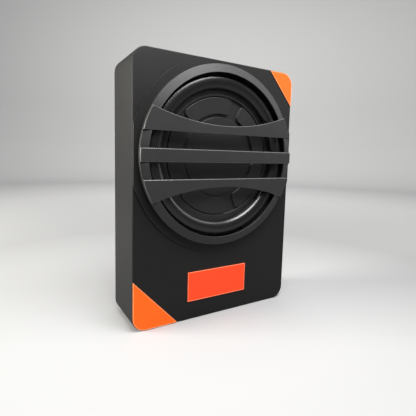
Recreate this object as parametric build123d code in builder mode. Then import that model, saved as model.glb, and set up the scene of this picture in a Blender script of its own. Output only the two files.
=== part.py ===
"""Slim powered car subwoofer, standing on one short end, in millimetres.

X runs across the case, -Y is the side that the driver faces and Z is up. The origin is the middle of
the bottom end, midway between the grille's lip and the back cover.
"""

import os

from build123d import *

# Case
case_w = 250.0
case_h = 345.0
case_d = 70.0
corner_r = 18.0
side_wall = 3.2
front_wall = 4.0
edge_break = 1.0
plinth_margin = 10.5
plinth_rise = 1.5
grille_rise = 10.0

# Back cover and what seals it
cover_t = 3.0
cover_gap = 0.2
cover_lip = 1.4
cover_gasket_t = 0.6
cover_seat_w = 9.0
cover_seat_t = 4.4
cover_screw_inset = 7.2
cover_screw_len = 14.0
cover_boss_r = 4.5
screw_r = 1.9
screw_gap = 0.1
csk_head_r = 3.9

# Driver seat, basket and motor
driver_drop = 125.0
seat_depth = 4.8
driver_hole_r = 105.2
basket_flange_w = 7.8
seat_ring_t = 4.5
fit_gap = 0.5
driver_gasket_t = 0.8
flange_t = 1.2
sheet_t = 1.6
driver_screw_margin = 5.1
driver_head_r = 2.5
driver_head_t = 2.0
driver_screw_r = 1.5
driver_screw_len = 6.0
driver_screw_count = 8
spider_drop = 24.7
spider_outer_r = 71.0
spider_seat_r = 64.0
basket_depth = 32.7
basket_base_r = 67.0
window_sweep = 44.0
window_count = 6
top_plate_t = 6.0
top_plate_r = 58.0
magnet_t = 15.0
magnet_r = 62.0
magnet_bore_r = 32.0
back_plate_t = 6.0
back_plate_r = 60.0
pole_r = 24.2

# Moving system
former_r = 24.8
former_t = 0.5
former_len = 41.5
winding_t = 1.4
winding_len = 20.0
winding_setback = 21.0
coil_gap = 0.7
cone_setback = 4.7
cone_t = 1.6
cone_rim_lap = 1.0
cone_rim_w = 10.0
cone_rim_rise = 2.5
pad_rise = 2.6
pad_margin = 4.5
pad_count = 5
pad_sweep = 59.0
pad_first_deg = 34.0
pad_corner_r = 5.0
cap_margin = 27.5
cap_rise = 1.0
cap_recess = 0.6
surround_t = 0.8
surround_land = 5.0
roll_overlap = 0.3
roll_w = 16.5
glue_w = 1.9
roll_crest = 4.3
spider_t = 0.8
spider_wave = 1.6

# Grille
ring_margin = 2.8
ring_w = 10.5
ring_outer_rise = 6.0
ring_foot_w = 4.5
ring_skin = 3.0
bar_t = 3.0
mid_bar_half = 8.0
arch_flat = 29.5
arch_apex = 40.0
arch_r = 307.7
peg_r = 1.5
peg_len = 5.0
peg_count = 6
peg_gap = 0.1

# Control panel window in the upper end
window_w = 191.5
window_back_margin = 6.5
window_r = 2.5
recess_depth = 8.0
well_wall = 2.5
well_ledge = 3.0
well_ledge_t = 3.0
panel_t = 2.0
panel_gap = 0.25
panel_gasket_t = 0.5
panel_screw_in = 9.05
panel_screw_rear_in = 5.3
panel_screw_front_in = 6.4
panel_mid_screw_x = -1.0
panel_mid_screw_in = 4.9
panel_boss_r = 4.5
panel_boss_len = 9.0
panel_screw_r = 1.4
panel_screw_len = 9.0
panel_head_r = 2.8
panel_head_t = 1.6
board_drop = 13.0
board_t = 1.6
board_inset = 3.5
post_r = 2.5
post_places = ((-88.0, 0.4), (-50.0, -19.6), (-50.0, 18.4), (-7.0, -19.6), (88.0, 10.4))
spare_holes = ((84.7, -0.55), (38.0, 0.35))
spare_hole_r = 1.0

# Controls and sockets, placed from the middle of the window
led_x = -80.7
led_rows = (8.25, -8.25)
led_r = 1.5
led_flange_r = 1.9
button_x = -71.2
button_rows = (8.95, -8.05)
button_r = 3.0
button_rise = 1.2
button_travel = 1.5
switch_w = 9.0
switch_h = 7.0
stem_r = 1.4
stem_len = 2.8
knob_xs = (-57.3, -40.0, -22.4)
knob_y = -0.55
knob_r = 3.75
knob_hole_r = 5.0
knob_sink = 0.4
pot_w = 10.0
pot_h = 6.5
pot_shaft_r = 1.5
pot_shaft_len = 4.0
slot_w = 1.2
slot_d = 1.5
running_gap = 0.05
jack_place = (-6.2, 1.55)
jack_w = 11.7
jack_d = 12.0
jack_mouth_w = 9.0
jack_mouth_d = 6.6
jack_mouth_depth = 10.0
plug_place = (11.4, 0.15)
plug_w = 15.5
plug_d = 10.7
plug_rise = 1.5
plug_pitch = 4.8
plug_cavity = 3.2
plug_cavity_depth = 9.0
plug_pin = 0.8
plug_latch_w = 5.0
plug_latch_d = 1.6
rca_x = 28.7
rca_rows = (7.35, -8.45)
rca_flange_r = 5.0
rca_flange_t = 1.0
rca_barrel_r = 4.15
rca_barrel_t = 0.5
rca_rise = 7.8
rca_bore_r = 1.7
rca_contact_t = 0.35
rca_block_w = 12.0
rca_block_d = 27.0
fuse_place = (46.2, -0.65)
fuse_w = 5.8
fuse_d = 21.0
fuse_rise = 4.0
fuse_seat = 4.0
fuse_gap = 0.3
blade_t = 0.65
blade_w = 5.2
blade_len = 7.0
blade_half_pitch = 7.0
terminal_place = (68.75, -1.3)
terminal_w = 24.5
terminal_end = 1.6
terminal_margin = 7.5
terminal_rise = 4.0
terminal_pitch = 11.7
terminal_screw_x = -4.45
terminal_entry_x = 7.45
terminal_screw_r = 2.9
terminal_shank_r = 1.95
terminal_entry = 6.2
clamp_h = 3.0
clamp_w = 6.0
clamp_floor = 1.5

# Electronics bay behind the label, and wiring
bay_margin = 12.0
amp_board_half_w = 95.0
amp_board_h = 80.0
standoff_len = 4.4
standoff_r = 3.0
sink_d = 16.0
sink_h = 8.0
sink_half_w = 78.0
fin_count = 12
fin_t = 1.6
fin_h = 9.0
capacitor_r = 9.0
capacitor_len = 30.0
toroid_r = 21.0
toroid_hole_r = 9.0
toroid_h = 17.0
transistor_w = 10.2
transistor_h = 14.5
transistor_t = 4.5
loom_x = 80.0
loom_r = 2.2
header_w = 13.0
header_h = 8.0
loom_setback = 9.0
lead_r = 0.9
lead_half_gap = 5.0
lead_bend_r = 6.0
lug_t = 0.8
lug_w = 3.0
lug_board_w = 18.0
lug_board_t = 1.6
lug_board_len = 12.0
tinsel_r = 0.5

# Label plate and corner badges on the front
label_w = 95.0
label_h = 40.0
label_z = 45.5
label_t = 1.0
badge_t = 0.8
low_badge_up = 66.0
low_badge_along = 63.0
top_badge_along = 44.0
top_badge_down = 48.0

# Radii worked out from the driver's hole, and the window's depth from the terminal block
basket_r = driver_hole_r + basket_flange_w
driver_screw_circle_r = driver_hole_r + driver_screw_margin
roll_outer_r = driver_hole_r + roll_overlap
roll_inner_r = roll_outer_r - roll_w
surround_glue_r = roll_outer_r + glue_w
cone_rim_r = roll_inner_r + cone_rim_lap
cone_step_r = cone_rim_r - cone_rim_w
cap_r = cone_step_r - cap_margin
pad_inner_r = cap_r + pad_margin
ring_inner_r = driver_hole_r + ring_margin
ring_outer_r = ring_inner_r + ring_w
plinth_r = ring_outer_r + plinth_margin
terminal_d = 3 * terminal_pitch + terminal_end
window_d = terminal_d + 2 * terminal_margin

# Depths worked out from the case
overall_d = case_d + grille_rise
back_y = overall_d / 2
front_y = grille_rise - overall_d / 2
front_inner_y = front_y + front_wall
lip_y = -overall_d / 2
plinth_y = front_y - plinth_rise
seat_y = plinth_y + seat_depth
flange_back_y = seat_y - driver_gasket_t
flange_y = flange_back_y - flange_t
cover_y = back_y - cover_t
cover_seat_y = cover_y - cover_gasket_t
spider_y = flange_y + spider_drop
basket_back_y = flange_y + basket_depth
top_plate_back_y = basket_back_y + top_plate_t
magnet_back_y = top_plate_back_y + magnet_t
motor_back_y = magnet_back_y + back_plate_t
cone_y = flange_y + cone_setback
cone_back_y = cone_y + cone_t
rim_y = cone_y - cone_rim_rise
former_out_r = former_r + former_t

# Heights worked out from the case
driver_z = case_h - driver_drop
panel_z = case_h - recess_depth
panel_back_z = panel_z - panel_t
ledge_z = panel_back_z - panel_gasket_t
board_z = panel_back_z - board_drop
window_y = back_y - window_back_margin - window_d / 2
amp_board_y = cover_y - standoff_len - board_t
amp_top_z = bay_margin + amp_board_h
board_half_w = window_w / 2 - board_inset
board_d = window_d - 2 * board_inset

driver_axis = Axis((0, 0, driver_z), (0, 1, 0))
section_plane = Plane.XY.offset(driver_z)


def facing(y):
    """Plane across the case at depth y, looking forward: local x is X and local y is Z."""
    return Plane.XZ.offset(-y)


def driver_plane(y):
    """The same, with its origin on the driver's axis."""
    return Plane(origin=(0, y, driver_z), x_dir=(1, 0, 0), z_dir=(0, -1, 0))


def section(*points):
    """Closed half section of a turned piece of the driver, its points as (radius, depth)."""
    with BuildSketch(section_plane) as outline:
        with BuildLine():
            Polyline(*points, close=True)
        make_face()
    return outline.sketch


def washer(inner_r, outer_r, from_y, to_y):
    """Section of a flat ring."""
    return section((inner_r, from_y), (outer_r, from_y), (outer_r, to_y), (inner_r, to_y))


def outline(plane, inset):
    """The case's front outline, moved in by an inset."""
    with BuildSketch(plane) as shape:
        with Locations((0, case_h / 2)):
            RectangleRounded(case_w - 2 * inset, case_h - 2 * inset, corner_r - inset)
    return shape.sketch


def sector(plane, inner_r, outer_r, middle, sweep, corner):
    """Ring sector with rounded corners, about the plane's origin."""
    with BuildSketch(plane) as shape:
        with BuildLine():
            outer = CenterArc((0, 0), outer_r, middle - sweep / 2, sweep)
            inner = CenterArc((0, 0), inner_r, middle - sweep / 2, sweep)
            Line(outer @ 0, inner @ 0)
            Line(outer @ 1, inner @ 1)
        make_face()
        fillet(shape.vertices(), corner)
    return shape.sketch


def panel_point(place, z=0.0):
    """Point over the window's middle, offset by place."""
    return (place[0], window_y + place[1], z)


def cover_screw_places():
    """Screws up both long sides and along the lower end."""
    rows = 4
    side_x = case_w / 2 - cover_screw_inset
    step = (case_h - 2 * corner_r) / (rows - 1)
    places = [(side * side_x, corner_r + row * step) for side in (-1, 1) for row in range(rows)]
    return places + [(-case_w / 6, cover_screw_inset), (case_w / 6, cover_screw_inset)]


def panel_screw_places():
    """Two screws at each end of the window and one in the middle of its rear edge."""
    side_x = window_w / 2 - panel_screw_in
    rows = (window_d / 2 - panel_screw_rear_in, panel_screw_front_in - window_d / 2)
    places = [(side * side_x, row) for side in (-1, 1) for row in rows]
    return places + [(panel_mid_screw_x, window_d / 2 - panel_mid_screw_in)]


# Enclosure: one moulding with the front, the sides, the driver seat and the control panel's well.
with BuildPart() as enclosure_shell:
    extrude(outline(facing(back_y), 0), amount=case_d)
    chamfer(faces().sort_by(Axis.Y)[0].edges(), edge_break)
    extrude(outline(facing(back_y), side_wall), amount=case_d - front_wall, mode=Mode.SUBTRACT)
    # Raised disc round the driver, trimmed by the sides and the upper end.
    with BuildSketch(facing(front_y)) as plinth:
        with Locations((0, driver_z)):
            Circle(plinth_r)
        add(outline(Plane.XY, edge_break), mode=Mode.INTERSECT)
    extrude(amount=plinth_rise)
    # Thick ring behind the front that the driver is screwed into.
    with BuildSketch(facing(front_inner_y + seat_ring_t)) as seat_ring:
        with Locations((0, driver_z)):
            Circle(case_w / 2 - side_wall)
        add(outline(Plane.XY, side_wall), mode=Mode.INTERSECT)
    extrude(amount=seat_ring_t)
    # Flange all round the back for the cover's gasket, with a boss at each screw.
    extrude(outline(facing(cover_seat_y), side_wall / 2), amount=cover_seat_t)
    extrude(outline(facing(cover_seat_y), cover_seat_w), amount=cover_seat_t, mode=Mode.SUBTRACT)
    with BuildSketch(facing(cover_seat_y)) as cover_bosses:
        with Locations(*cover_screw_places()):
            Circle(cover_boss_r)
    extrude(amount=cover_screw_len)
    # Walls and ledge of the control panel's well.
    well_top = Plane.XY.offset(case_h)
    with BuildSketch(well_top) as well:
        with Locations((0, window_y)):
            Rectangle(window_w + 2 * well_wall, window_d + 2 * well_wall)
    extrude(amount=-(case_h - ledge_z + well_ledge_t))
    with BuildSketch(Plane.XY.offset(ledge_z)) as panel_bosses:
        with Locations(*[panel_point(place)[:2] for place in panel_screw_places()]):
            Circle(panel_boss_r)
    extrude(amount=-panel_boss_len)
    # Openings: the recess for the cover, the window, the way through its ledge, the driver's seat,
    # and the control board's bay, which a deep panel brings up to the seat.
    extrude(outline(facing(back_y), cover_lip), amount=back_y - cover_seat_y, mode=Mode.SUBTRACT)
    with BuildSketch(well_top) as window:
        with Locations((0, window_y)):
            RectangleRounded(window_w, window_d, window_r)
    extrude(amount=-(case_h - ledge_z), mode=Mode.SUBTRACT)
    with BuildSketch(Plane.XY.offset(ledge_z)) as well_way:
        with Locations((0, window_y)):
            Rectangle(window_w - 2 * well_ledge, window_d - 2 * well_ledge)
        with Locations(*[panel_point(place)[:2] for place in panel_screw_places()]):
            Circle(panel_boss_r, mode=Mode.SUBTRACT)
    extrude(amount=-well_ledge_t, mode=Mode.SUBTRACT)
    revolve(washer(0, basket_r + fit_gap, lip_y, seat_y), axis=driver_axis, mode=Mode.SUBTRACT)
    behind_seat_y = front_inner_y + seat_ring_t
    with BuildSketch(Plane.XY.offset(board_z + fit_gap)) as board_bay:
        with Locations((0, window_y)):
            Rectangle(2 * (board_half_w + fit_gap), board_d + 2 * fit_gap)
    extrude(amount=-(board_t + 2 * fit_gap), mode=Mode.SUBTRACT)
    revolve(washer(0, driver_hole_r, lip_y, behind_seat_y), axis=driver_axis, mode=Mode.SUBTRACT)
    # Screw holes, and the blind holes for the grille's pegs.
    with BuildSketch(facing(cover_seat_y)) as cover_holes:
        with Locations(*cover_screw_places()):
            Circle(screw_r + screw_gap)
    extrude(amount=cover_screw_len - cover_t, mode=Mode.SUBTRACT)
    with BuildSketch(Plane.XY.offset(ledge_z)) as panel_holes:
        with Locations(*[panel_point(place)[:2] for place in panel_screw_places()]):
            Circle(panel_screw_r + screw_gap)
    extrude(amount=-panel_boss_len, mode=Mode.SUBTRACT)
    with BuildSketch(driver_plane(seat_y)) as driver_holes:
        with PolarLocations(driver_screw_circle_r, driver_screw_count, 22.5):
            Circle(driver_screw_r + screw_gap)
    extrude(amount=-driver_screw_len, mode=Mode.SUBTRACT)
    with BuildSketch(driver_plane(plinth_y)) as peg_holes:
        with PolarLocations(ring_outer_r - ring_foot_w / 2, peg_count):
            Circle(peg_r + peg_gap)
    extrude(amount=-(peg_len + fit_gap), mode=Mode.SUBTRACT)

# Back cover, flush in the shell's rebate, with its countersunk screws and flat gasket.
with BuildPart() as back_cover:
    extrude(outline(facing(back_y), cover_lip + cover_gap), amount=cover_t)
    with BuildSketch(facing(back_y)) as cover_clearance:
        with Locations(*cover_screw_places()):
            Circle(screw_r + 3 * screw_gap)
    extrude(amount=cover_t, mode=Mode.SUBTRACT)
    for x, z in cover_screw_places():
        with Locations(Location((x, back_y, z), (90, 0, 0))):
            mouth_r = csk_head_r + 3 * screw_gap
            Cone(mouth_r, screw_r, mouth_r - screw_r, mode=Mode.SUBTRACT,
                 align=(Align.CENTER, Align.CENTER, Align.MIN))

with BuildPart() as back_cover_gasket:
    extrude(outline(facing(cover_y), cover_lip + 2 * cover_gap), amount=cover_gasket_t)
    extrude(outline(facing(cover_y), cover_seat_w), amount=cover_gasket_t, mode=Mode.SUBTRACT)
    with BuildSketch(facing(cover_y)) as gasket_ears:
        with Locations(*cover_screw_places()):
            Circle(cover_boss_r)
        add(outline(Plane.XY, cover_lip + 2 * cover_gap), mode=Mode.INTERSECT)
    extrude(amount=cover_gasket_t)
    with BuildSketch(facing(cover_y)) as gasket_holes:
        with Locations(*cover_screw_places()):
            Circle(screw_r + 5 * screw_gap)
    extrude(amount=cover_gasket_t, mode=Mode.SUBTRACT)

with BuildPart() as back_cover_screws:
    for x, z in cover_screw_places():
        with Locations(Location((x, back_y - screw_gap, z), (90, 0, 0))):
            Cone(csk_head_r, screw_r, csk_head_r - screw_r,
                 align=(Align.CENTER, Align.CENTER, Align.MIN))
            Cylinder(screw_r, cover_screw_len - 1.0,
                     align=(Align.CENTER, Align.CENTER, Align.MIN))

# Grille: a raised conical ring on the plinth, crossed by three bars whose faces stand at the lip.
with BuildPart() as grille:
    foot_r = ring_outer_r - ring_foot_w
    outer_y = plinth_y - ring_outer_rise
    revolve(
        section((ring_outer_r, plinth_y), (ring_outer_r, outer_y), (ring_inner_r, lip_y),
                (ring_inner_r, lip_y + ring_skin), (foot_r, outer_y + ring_skin - 1.0),
                (foot_r, plinth_y)),
        axis=driver_axis,
    )
    with BuildSketch(driver_plane(lip_y + bar_t)) as bars:
        Circle(ring_outer_r)
        for side in (-1, 1):
            gap_mid = side * (mid_bar_half + arch_flat) / 2
            with Locations((0, gap_mid)):
                Rectangle(2 * ring_outer_r, arch_flat - mid_bar_half, mode=Mode.SUBTRACT)
            with Locations((0, side * (arch_apex + arch_r))):
                Circle(arch_r, mode=Mode.SUBTRACT)
    extrude(amount=bar_t)
    with BuildSketch(driver_plane(plinth_y)) as pegs:
        with PolarLocations(ring_outer_r - ring_foot_w / 2, peg_count):
            Circle(peg_r)
    extrude(amount=-peg_len)

# Driver frame: pressed steel basket on a gasket, screwed to the seat from the front.
with BuildPart() as driver_gasket:
    revolve(washer(driver_hole_r, basket_r, flange_back_y, seat_y), axis=driver_axis)
    with BuildSketch(driver_plane(seat_y)) as gasket_way:
        with PolarLocations(driver_screw_circle_r, driver_screw_count, 22.5):
            Circle(driver_screw_r + 3 * screw_gap)
    extrude(amount=driver_gasket_t, mode=Mode.SUBTRACT)

with BuildPart() as driver_basket:
    inner_flange_r = driver_hole_r - fit_gap - 0.3
    wall_r = inner_flange_r + sheet_t - 1.0
    base_y = basket_back_y - sheet_t
    revolve(
        section((basket_r, flange_y), (basket_r, flange_back_y), (wall_r, flange_back_y),
                (spider_outer_r + 1.6 + sheet_t, spider_y + sheet_t),
                (basket_base_r, spider_y + sheet_t), (basket_base_r, basket_back_y),
                (former_out_r + winding_t + coil_gap, basket_back_y),
                (former_out_r + winding_t + coil_gap, base_y),
                (basket_base_r - sheet_t, base_y), (basket_base_r - sheet_t, spider_y + sheet_t),
                (spider_seat_r, spider_y + sheet_t), (spider_seat_r, spider_y),
                (spider_outer_r + 1.6, spider_y), (inner_flange_r, flange_y)),
        axis=driver_axis,
    )
    inner_edge_r = spider_outer_r + 3.5
    outer_edge_r = driver_hole_r - 6
    window_corner_r = min(4, (outer_edge_r - inner_edge_r) / 3)
    for number in range(window_count):
        middle = -90 + number * 360 / window_count
        hole = sector(driver_plane(spider_y + sheet_t), inner_edge_r, outer_edge_r, middle,
                      window_sweep, window_corner_r)
        extrude(hole, amount=spider_drop, mode=Mode.SUBTRACT)
    with BuildSketch(driver_plane(flange_back_y)) as flange_holes:
        with PolarLocations(driver_screw_circle_r, driver_screw_count, 22.5):
            Circle(driver_screw_r + 2 * screw_gap)
    extrude(amount=flange_t, mode=Mode.SUBTRACT)

with BuildPart() as driver_screws:
    with BuildSketch(driver_plane(flange_y)) as heads:
        with PolarLocations(driver_screw_circle_r, driver_screw_count, 22.5):
            Circle(driver_head_r)
    extrude(amount=driver_head_t)
    with BuildSketch(driver_plane(flange_y)) as shanks:
        with PolarLocations(driver_screw_circle_r, driver_screw_count, 22.5):
            Circle(driver_screw_r)
    extrude(amount=-driver_screw_len)

# Motor: top plate, ring magnet, and back plate with the pole in one piece.
with BuildPart() as top_plate:
    gap_r = former_out_r + winding_t + coil_gap
    revolve(washer(gap_r, top_plate_r, basket_back_y, top_plate_back_y), axis=driver_axis)

with BuildPart() as magnet:
    revolve(washer(magnet_bore_r, magnet_r, top_plate_back_y, magnet_back_y), axis=driver_axis)

with BuildPart() as back_plate_pole:
    revolve(
        section((0, basket_back_y), (pole_r, basket_back_y), (pole_r, magnet_back_y),
                (back_plate_r, magnet_back_y), (back_plate_r, motor_back_y), (0, motor_back_y)),
        axis=driver_axis,
    )

# Moving system: coil former and winding, flat diaphragm with raised pads, centre cap.
former_front_y = cone_y + cap_recess
with BuildPart() as voice_coil_former:
    former_back_y = former_front_y + former_len
    revolve(washer(former_r, former_out_r, former_front_y, former_back_y), axis=driver_axis)

with BuildPart() as voice_coil_winding:
    winding_y = cone_y + winding_setback
    winding_r = former_out_r + winding_t
    revolve(washer(former_out_r, winding_r, winding_y, winding_y + winding_len),
            axis=driver_axis)

with BuildPart() as cone:
    revolve(
        section((former_out_r, cone_y), (cone_step_r, cone_y), (cone_step_r, rim_y),
                (cone_rim_r, rim_y), (cone_rim_r, rim_y + cone_t),
                (cone_step_r + cone_t, rim_y + cone_t), (cone_step_r + cone_t, cone_back_y),
                (former_out_r, cone_back_y)),
        axis=driver_axis,
    )
    for number in range(pad_count):
        middle = pad_first_deg + number * 360 / pad_count
        pad = sector(driver_plane(cone_y), pad_inner_r, cone_step_r - 1.5, middle, pad_sweep,
                     pad_corner_r)
        extrude(pad, amount=pad_rise)

with BuildPart() as centre_cap:
    revolve(
        section((0, cone_y - cap_rise), (cap_r, cone_y - cap_rise), (cap_r, cone_y),
                (former_r, cone_y), (former_r, former_front_y), (0, former_front_y)),
        axis=driver_axis,
    )

# Suspension: half-roll rubber surround and the corrugated spider.
with BuildPart() as surround:
    with BuildSketch(section_plane) as roll:
        with BuildLine():
            inner_out = (roll_inner_r, rim_y - surround_t)
            outer_out = (roll_outer_r, flange_y - surround_t)
            inner_in = (roll_inner_r + surround_t, rim_y)
            outer_in = (roll_outer_r - surround_t, flange_y)
            middle_r = (roll_inner_r + roll_outer_r) / 2
            crest_y = flange_y - roll_crest
            Polyline(inner_in, (roll_inner_r - surround_land, rim_y),
                     (roll_inner_r - surround_land, rim_y - surround_t), inner_out)
            ThreePointArc(inner_out, (middle_r, crest_y - surround_t), outer_out)
            Polyline(outer_out, (surround_glue_r, flange_y - surround_t),
                     (surround_glue_r, flange_y), outer_in)
            ThreePointArc(outer_in, (middle_r, crest_y), inner_in)
        make_face()
    revolve(axis=driver_axis)

with BuildPart() as spider:
    waves = 4
    inner_r = former_out_r
    land_r = spider_seat_r + 0.5
    step = (land_r - inner_r - 3) / (2 * waves)
    front = [(inner_r, spider_y - spider_t), (inner_r + 3, spider_y - spider_t)]
    for number in range(1, 2 * waves):
        height = -spider_wave if number % 2 else spider_wave
        front.append((inner_r + 3 + number * step, spider_y - spider_t + height / 2))
    front += [(land_r, spider_y - spider_t), (spider_outer_r, spider_y - spider_t)]
    rear = [(radius, y + spider_t) for radius, y in reversed(front)]
    revolve(section(*front, *rear), axis=driver_axis)

# Speaker terminals on the basket's lower side, with the flexible leads to the diaphragm.
lug_top_z = driver_z - basket_base_r
lug_y = spider_y + sheet_t + 0.2
tinsel_z = lug_top_z - lug_board_len + 2.0
with BuildPart() as speaker_terminals:
    with BuildSketch(facing(lug_y + lug_board_t)) as lug_board:
        with Locations((0, lug_top_z + 1.0)):
            Rectangle(lug_board_w, lug_board_len + 1.0, align=(Align.CENTER, Align.MAX))
        with Locations((0, driver_z)):
            Circle(basket_base_r, mode=Mode.SUBTRACT)
    extrude(amount=lug_board_t)
    with BuildSketch(facing(lug_y + lug_board_t)) as lugs:
        with Locations((-lead_half_gap, tinsel_z), (lead_half_gap, tinsel_z)):
            Rectangle(lug_w, lug_w)
    extrude(amount=-lug_t)

with BuildPart() as tinsel_leads:
    for side in (-1, 1):
        lead_x = side * lead_half_gap
        with BuildLine() as tinsel_path:
            FilletPolyline(
                (lead_x, lug_y, tinsel_z),
                (lead_x, cone_back_y + 9, tinsel_z),
                (lead_x, cone_back_y + 9, driver_z - cap_r),
                (lead_x, cone_back_y, driver_z - cap_r),
                radius=3,
            )
        with BuildSketch(facing(lug_y)):
            with Locations((lead_x, tinsel_z)):
                Circle(tinsel_r)
        sweep(path=tinsel_path.wires()[0])

with BuildPart() as speaker_leads:
    loom_y = amp_board_y - loom_setback
    for side in (-1, 1):
        lead_x = side * lead_half_gap
        with BuildLine() as lead_path:
            FilletPolyline(
                (lead_x, lug_y + lug_board_t + lug_t, tinsel_z),
                (lead_x, loom_y, tinsel_z),
                (lead_x, loom_y, amp_top_z),
                radius=lead_bend_r,
            )
        with BuildSketch(facing(lug_y + lug_board_t + lug_t)):
            with Locations((lead_x, tinsel_z)):
                Circle(lead_r)
        sweep(path=lead_path.wires()[0])

# Control panel: plate with every cut-out and the posts that carry the control board.
with BuildPart() as control_panel:
    with BuildSketch(Plane.XY.offset(panel_back_z)) as panel_plate:
        with Locations((0, window_y)):
            RectangleRounded(window_w - 2 * panel_gap, window_d - 2 * panel_gap, window_r)
        with Locations(*[panel_point(place)[:2] for place in panel_screw_places()]):
            Circle(panel_screw_r + 2 * screw_gap, mode=Mode.SUBTRACT)
        with Locations(*[panel_point((led_x, row))[:2] for row in led_rows]):
            Circle(led_r + screw_gap, mode=Mode.SUBTRACT)
        with Locations(*[panel_point((button_x, row))[:2] for row in button_rows]):
            Circle(button_r + fit_gap / 2, mode=Mode.SUBTRACT)
        with Locations(*[panel_point((x, knob_y))[:2] for x in knob_xs]):
            Circle(knob_hole_r, mode=Mode.SUBTRACT)
        with Locations(panel_point(jack_place)[:2]):
            Rectangle(jack_w + fit_gap, jack_d + fit_gap, mode=Mode.SUBTRACT)
        with Locations(panel_point(plug_place)[:2]):
            Rectangle(plug_w + fit_gap, plug_d + fit_gap, mode=Mode.SUBTRACT)
        with Locations(*[panel_point((rca_x, row))[:2] for row in rca_rows]):
            Circle(rca_barrel_r + fit_gap / 2, mode=Mode.SUBTRACT)
        with Locations(panel_point(fuse_place)[:2]):
            Rectangle(fuse_w + 2 * fuse_gap, fuse_d + 2 * fuse_gap, mode=Mode.SUBTRACT)
        with Locations(panel_point(terminal_place)[:2]):
            Rectangle(terminal_w + fit_gap, terminal_d + fit_gap, mode=Mode.SUBTRACT)
        with Locations(*[panel_point(place)[:2] for place in spare_holes]):
            Circle(spare_hole_r, mode=Mode.SUBTRACT)
    extrude(amount=panel_t)
    with BuildSketch(Plane.XY.offset(panel_back_z)) as posts:
        with Locations(*[panel_point(place)[:2] for place in post_places]):
            Circle(post_r)
    extrude(amount=-board_drop)

with BuildPart() as panel_gasket:
    with BuildSketch(Plane.XY.offset(ledge_z)) as gasket_outline:
        with Locations((0, window_y)):
            RectangleRounded(window_w - 2 * panel_gap, window_d - 2 * panel_gap, window_r)
            Rectangle(window_w - 2 * well_ledge, window_d - 2 * well_ledge, mode=Mode.SUBTRACT)
        with Locations(*[panel_point(place)[:2] for place in panel_screw_places()]):
            Circle(panel_boss_r)
        with Locations(*[panel_point(place)[:2] for place in panel_screw_places()]):
            Circle(panel_screw_r + 3 * screw_gap, mode=Mode.SUBTRACT)
    extrude(amount=panel_gasket_t)

with BuildPart() as panel_screws:
    with BuildSketch(Plane.XY.offset(panel_z)) as panel_heads:
        with Locations(*[panel_point(place)[:2] for place in panel_screw_places()]):
            Circle(panel_head_r)
    extrude(amount=panel_head_t)
    with BuildSketch(Plane.XY.offset(panel_z)) as panel_shanks:
        with Locations(*[panel_point(place)[:2] for place in panel_screw_places()]):
            Circle(panel_screw_r)
    extrude(amount=-panel_screw_len)

with BuildPart() as control_board:
    with Locations((0, window_y, board_z)):
        Box(2 * board_half_w, board_d, board_t, align=(Align.CENTER, Align.CENTER, Align.MAX))

# Rotary controls: pots on the board, each with a slotted knob on its shaft.
with BuildPart() as pot_bodies:
    with Locations(*[panel_point((x, knob_y), board_z) for x in knob_xs]):
        Box(pot_w, pot_w, pot_h, align=(Align.CENTER, Align.CENTER, Align.MIN))
        Cylinder(pot_shaft_r, pot_h + pot_shaft_len,
                 align=(Align.CENTER, Align.CENTER, Align.MIN))


def slotted_knob(x):
    """Knob over a pot's shaft, with a screwdriver slot across its top."""
    knob_foot_z = board_z + pot_h + 0.3
    knob_top_z = panel_z - knob_sink
    with BuildPart() as knob:
        with Locations(panel_point((x, knob_y), knob_foot_z)):
            Cylinder(knob_r, knob_top_z - knob_foot_z,
                     align=(Align.CENTER, Align.CENTER, Align.MIN))
            Cylinder(pot_shaft_r + running_gap, pot_shaft_len, mode=Mode.SUBTRACT,
                     align=(Align.CENTER, Align.CENTER, Align.MIN))
        with Locations(panel_point((x, knob_y), knob_top_z)):
            Box(slot_w, 2 * knob_r, slot_d, mode=Mode.SUBTRACT,
                align=(Align.CENTER, Align.CENTER, Align.MAX))
    return knob


level_knob = slotted_knob(knob_xs[0])
crossover_knob = slotted_knob(knob_xs[1])
bass_boost_knob = slotted_knob(knob_xs[2])

# Push buttons over switch bodies whose bores guide their stems.
with BuildPart() as switch_bodies:
    with Locations(*[panel_point((button_x, row), board_z) for row in button_rows]):
        Box(switch_w, switch_w, switch_h, align=(Align.CENTER, Align.CENTER, Align.MIN))
    with Locations(*[panel_point((button_x, row), board_z + switch_h) for row in button_rows]):
        Cylinder(stem_r + running_gap, stem_len + button_travel + fit_gap, mode=Mode.SUBTRACT,
                 align=(Align.CENTER, Align.CENTER, Align.MAX))


def push_button(row):
    """Round button with a domed edge, and the stem that slides in its switch."""
    foot_z = board_z + switch_h + button_travel + 0.3
    with BuildPart() as button:
        with Locations(panel_point((button_x, row), foot_z)):
            Cylinder(button_r, panel_z + button_rise - foot_z,
                     align=(Align.CENTER, Align.CENTER, Align.MIN))
            Cylinder(stem_r, stem_len + button_travel,
                     align=(Align.CENTER, Align.CENTER, Align.MAX))
        fillet(edges().group_by(Axis.Z)[-1], 0.6)
    return button


phase_button = push_button(button_rows[0])
power_mode_button = push_button(button_rows[1])


def indicator(row):
    """Round-topped lamp on two legs."""
    body_z = board_z + 3.0
    with BuildPart() as lamp:
        with Locations(panel_point((led_x, row), body_z)):
            Cylinder(led_r, panel_z - body_z - 0.6, align=(Align.CENTER, Align.CENTER, Align.MIN))
            Cylinder(led_flange_r, 1.0, align=(Align.CENTER, Align.CENTER, Align.MIN))
        with Locations(panel_point((led_x, row), panel_z - 0.6)):
            Sphere(led_r)
        for side in (-1, 1):
            with Locations(panel_point((led_x + side * 0.9, row), board_z)):
                Cylinder(0.3, 3.5, align=(Align.CENTER, Align.CENTER, Align.MIN))
    return lamp


green_led = indicator(led_rows[0])
red_led = indicator(led_rows[1])

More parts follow.
